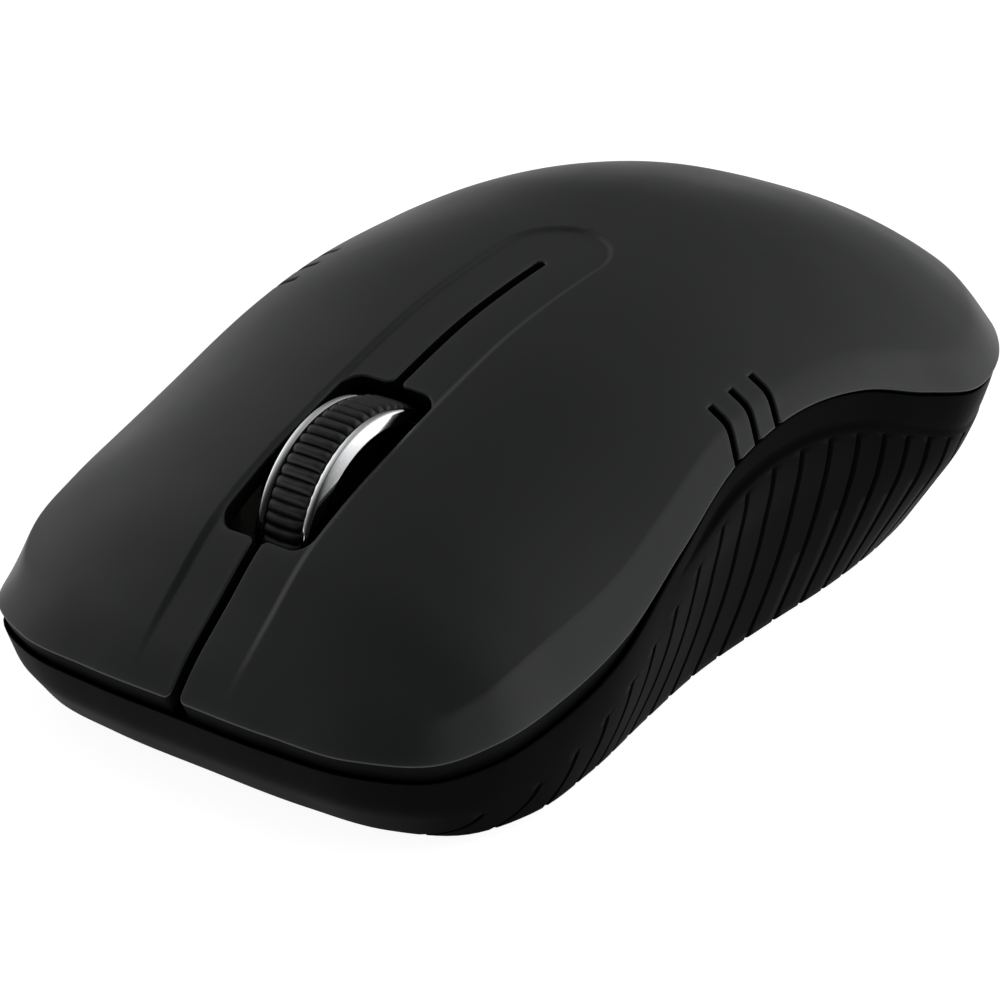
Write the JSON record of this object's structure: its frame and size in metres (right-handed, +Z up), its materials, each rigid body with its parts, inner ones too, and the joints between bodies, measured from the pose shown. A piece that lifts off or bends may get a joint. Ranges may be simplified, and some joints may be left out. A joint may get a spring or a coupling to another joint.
{
  "type": "computer mouse",
  "caption": "Cordless notebook mouse with a soft-touch arched shell, sprung keys, chrome-rimmed scroll wheel, ribbed side skirt and sliding battery door.",
  "frame": {"origin": "centre of the bounding box's bottom face, on the table under the glide feet", "axes": "+Z up; -Y to the nose, where the keys and wheel are; +X to the user's left hand side"},
  "size_m": [0.0646, 0.1, 0.0323],
  "materials": {
    "soft_cover": "soft-touch charcoal paint over moulded plastic",
    "grip_skirt": "satin black elastomer with leaning ribs",
    "shell_black": "fine moulded texture",
    "tread_rubber": "ribbed rubber",
    "chrome": "bright chrome plating",
    "steel": "plated steel",
    "glide": "smooth low-friction pad",
    "board_green": "green solder mask on glass-filled laminate",
    "chip_black": "moulded epoxy",
    "switch_red": "moulded",
    "white_plastic": "moulded",
    "clear_lens": "clear moulded lens",
    "lamp_red": "tinted clear epoxy",
    "cell_wrap": "printed metal sleeve"
  },
  "bodies": {
    "root": {"palm_cover": "soft_cover", "grip_skirt": "grip_skirt", "base_plate": "shell_black", "front_left_foot": "glide", "front_right_foot": "glide", "rear_left_foot": "glide", "rear_right_foot": "glide", "scroll_encoder": "white_plastic", "circuit_board": "board_green", "left_switch_body": "chip_black", "right_switch_body": "chip_black", "wheel_switch_body": "steel", "wheel_spring": "steel", "optical_sensor": "chip_black", "sensor_lens": "clear_lens", "sensor_lamp": "lamp_red", "radio_chip": "chip_black", "clock_crystal": "steel", "supply_capacitor": "chip_black", "power_switch_body": "steel", "left_case_screw": "steel", "right_case_screw": "steel", "left_board_screw": "steel", "right_board_screw": "steel", "battery_bay": "shell_black", "left_battery_cell": "cell_wrap", "right_battery_cell": "cell_wrap", "left_battery_spring": "steel", "right_battery_spring": "steel", "receiver_cap": "shell_black", "receiver_plug": "steel"},
    "left_button": {"left_button": "soft_cover"},
    "right_button": {"right_button": "soft_cover"},
    "left_plunger": {"left_switch_plunger": "switch_red"},
    "right_plunger": {"right_switch_plunger": "switch_red"},
    "wheel_carrier": {"wheel_carrier": "shell_black"},
    "wheel": {"wheel_hub": "shell_black", "wheel_tread": "tread_rubber", "left_wheel_rim": "chrome", "right_wheel_rim": "chrome", "wheel_axle": "steel"},
    "wheel_plunger": {"wheel_switch_plunger": "chip_black"},
    "battery_door": {"battery_door": "shell_black"},
    "power_slider": {"power_switch_slider": "white_plastic"}
  },
  "joints": [
    {"name": "left_button_press", "type": "hinge", "parent": "root", "child": "left_button", "pos_m": [0, 0.004, 0.029], "axis": [1, 0, 0], "range_deg": [0, 0.9], "stiffness_Nm_per_rad": 0.6, "springref_deg": -0.57},
    {"name": "right_button_press", "type": "hinge", "parent": "root", "child": "right_button", "pos_m": [0, 0.004, 0.029], "axis": [1, 0, 0], "range_deg": [0, 0.9], "stiffness_Nm_per_rad": 0.6, "springref_deg": -0.57},
    {"name": "left_plunger_press", "type": "slide", "parent": "root", "child": "left_plunger", "axis": [0, 0, -1], "range_m": [0, 0.0004]},
    {"name": "right_plunger_press", "type": "slide", "parent": "root", "child": "right_plunger", "axis": [0, 0, -1], "range_m": [0, 0.0004]},
    {"name": "wheel_click", "type": "slide", "parent": "root", "child": "wheel_carrier", "axis": [0, 0, -1], "range_m": [0, 0.0005], "stiffness_N_per_m": 800, "springref_m": -0.0005, "deforming": ["wheel_spring"]},
    {"name": "wheel_plunger_press", "type": "slide", "parent": "root", "child": "wheel_plunger", "axis": [0, 0, -1], "range_m": [0, 0.00025]},
    {"name": "wheel_spin", "type": "hinge", "parent": "wheel_carrier", "child": "wheel", "pos_m": [0, -0.0246, 0.0169], "axis": [1, 0, 0], "continuous": true},
    {"name": "battery_door_slide", "type": "slide", "parent": "root", "child": "battery_door", "axis": [0, 1, 0], "range_m": [0, 0.012]},
    {"name": "power_switch_slide", "type": "slide", "parent": "root", "child": "power_slider", "axis": [0, 1, 0], "range_m": [0, 0.0018]}
  ],
  "couplings": [
    {"joint": "left_plunger_press", "follows": "left_button_press", "m_per_rad": 0.0254},
    {"joint": "right_plunger_press", "follows": "right_button_press", "m_per_rad": 0.0254},
    {"joint": "wheel_plunger_press", "follows": "wheel_click", "ratio": 0.5}
  ]
}
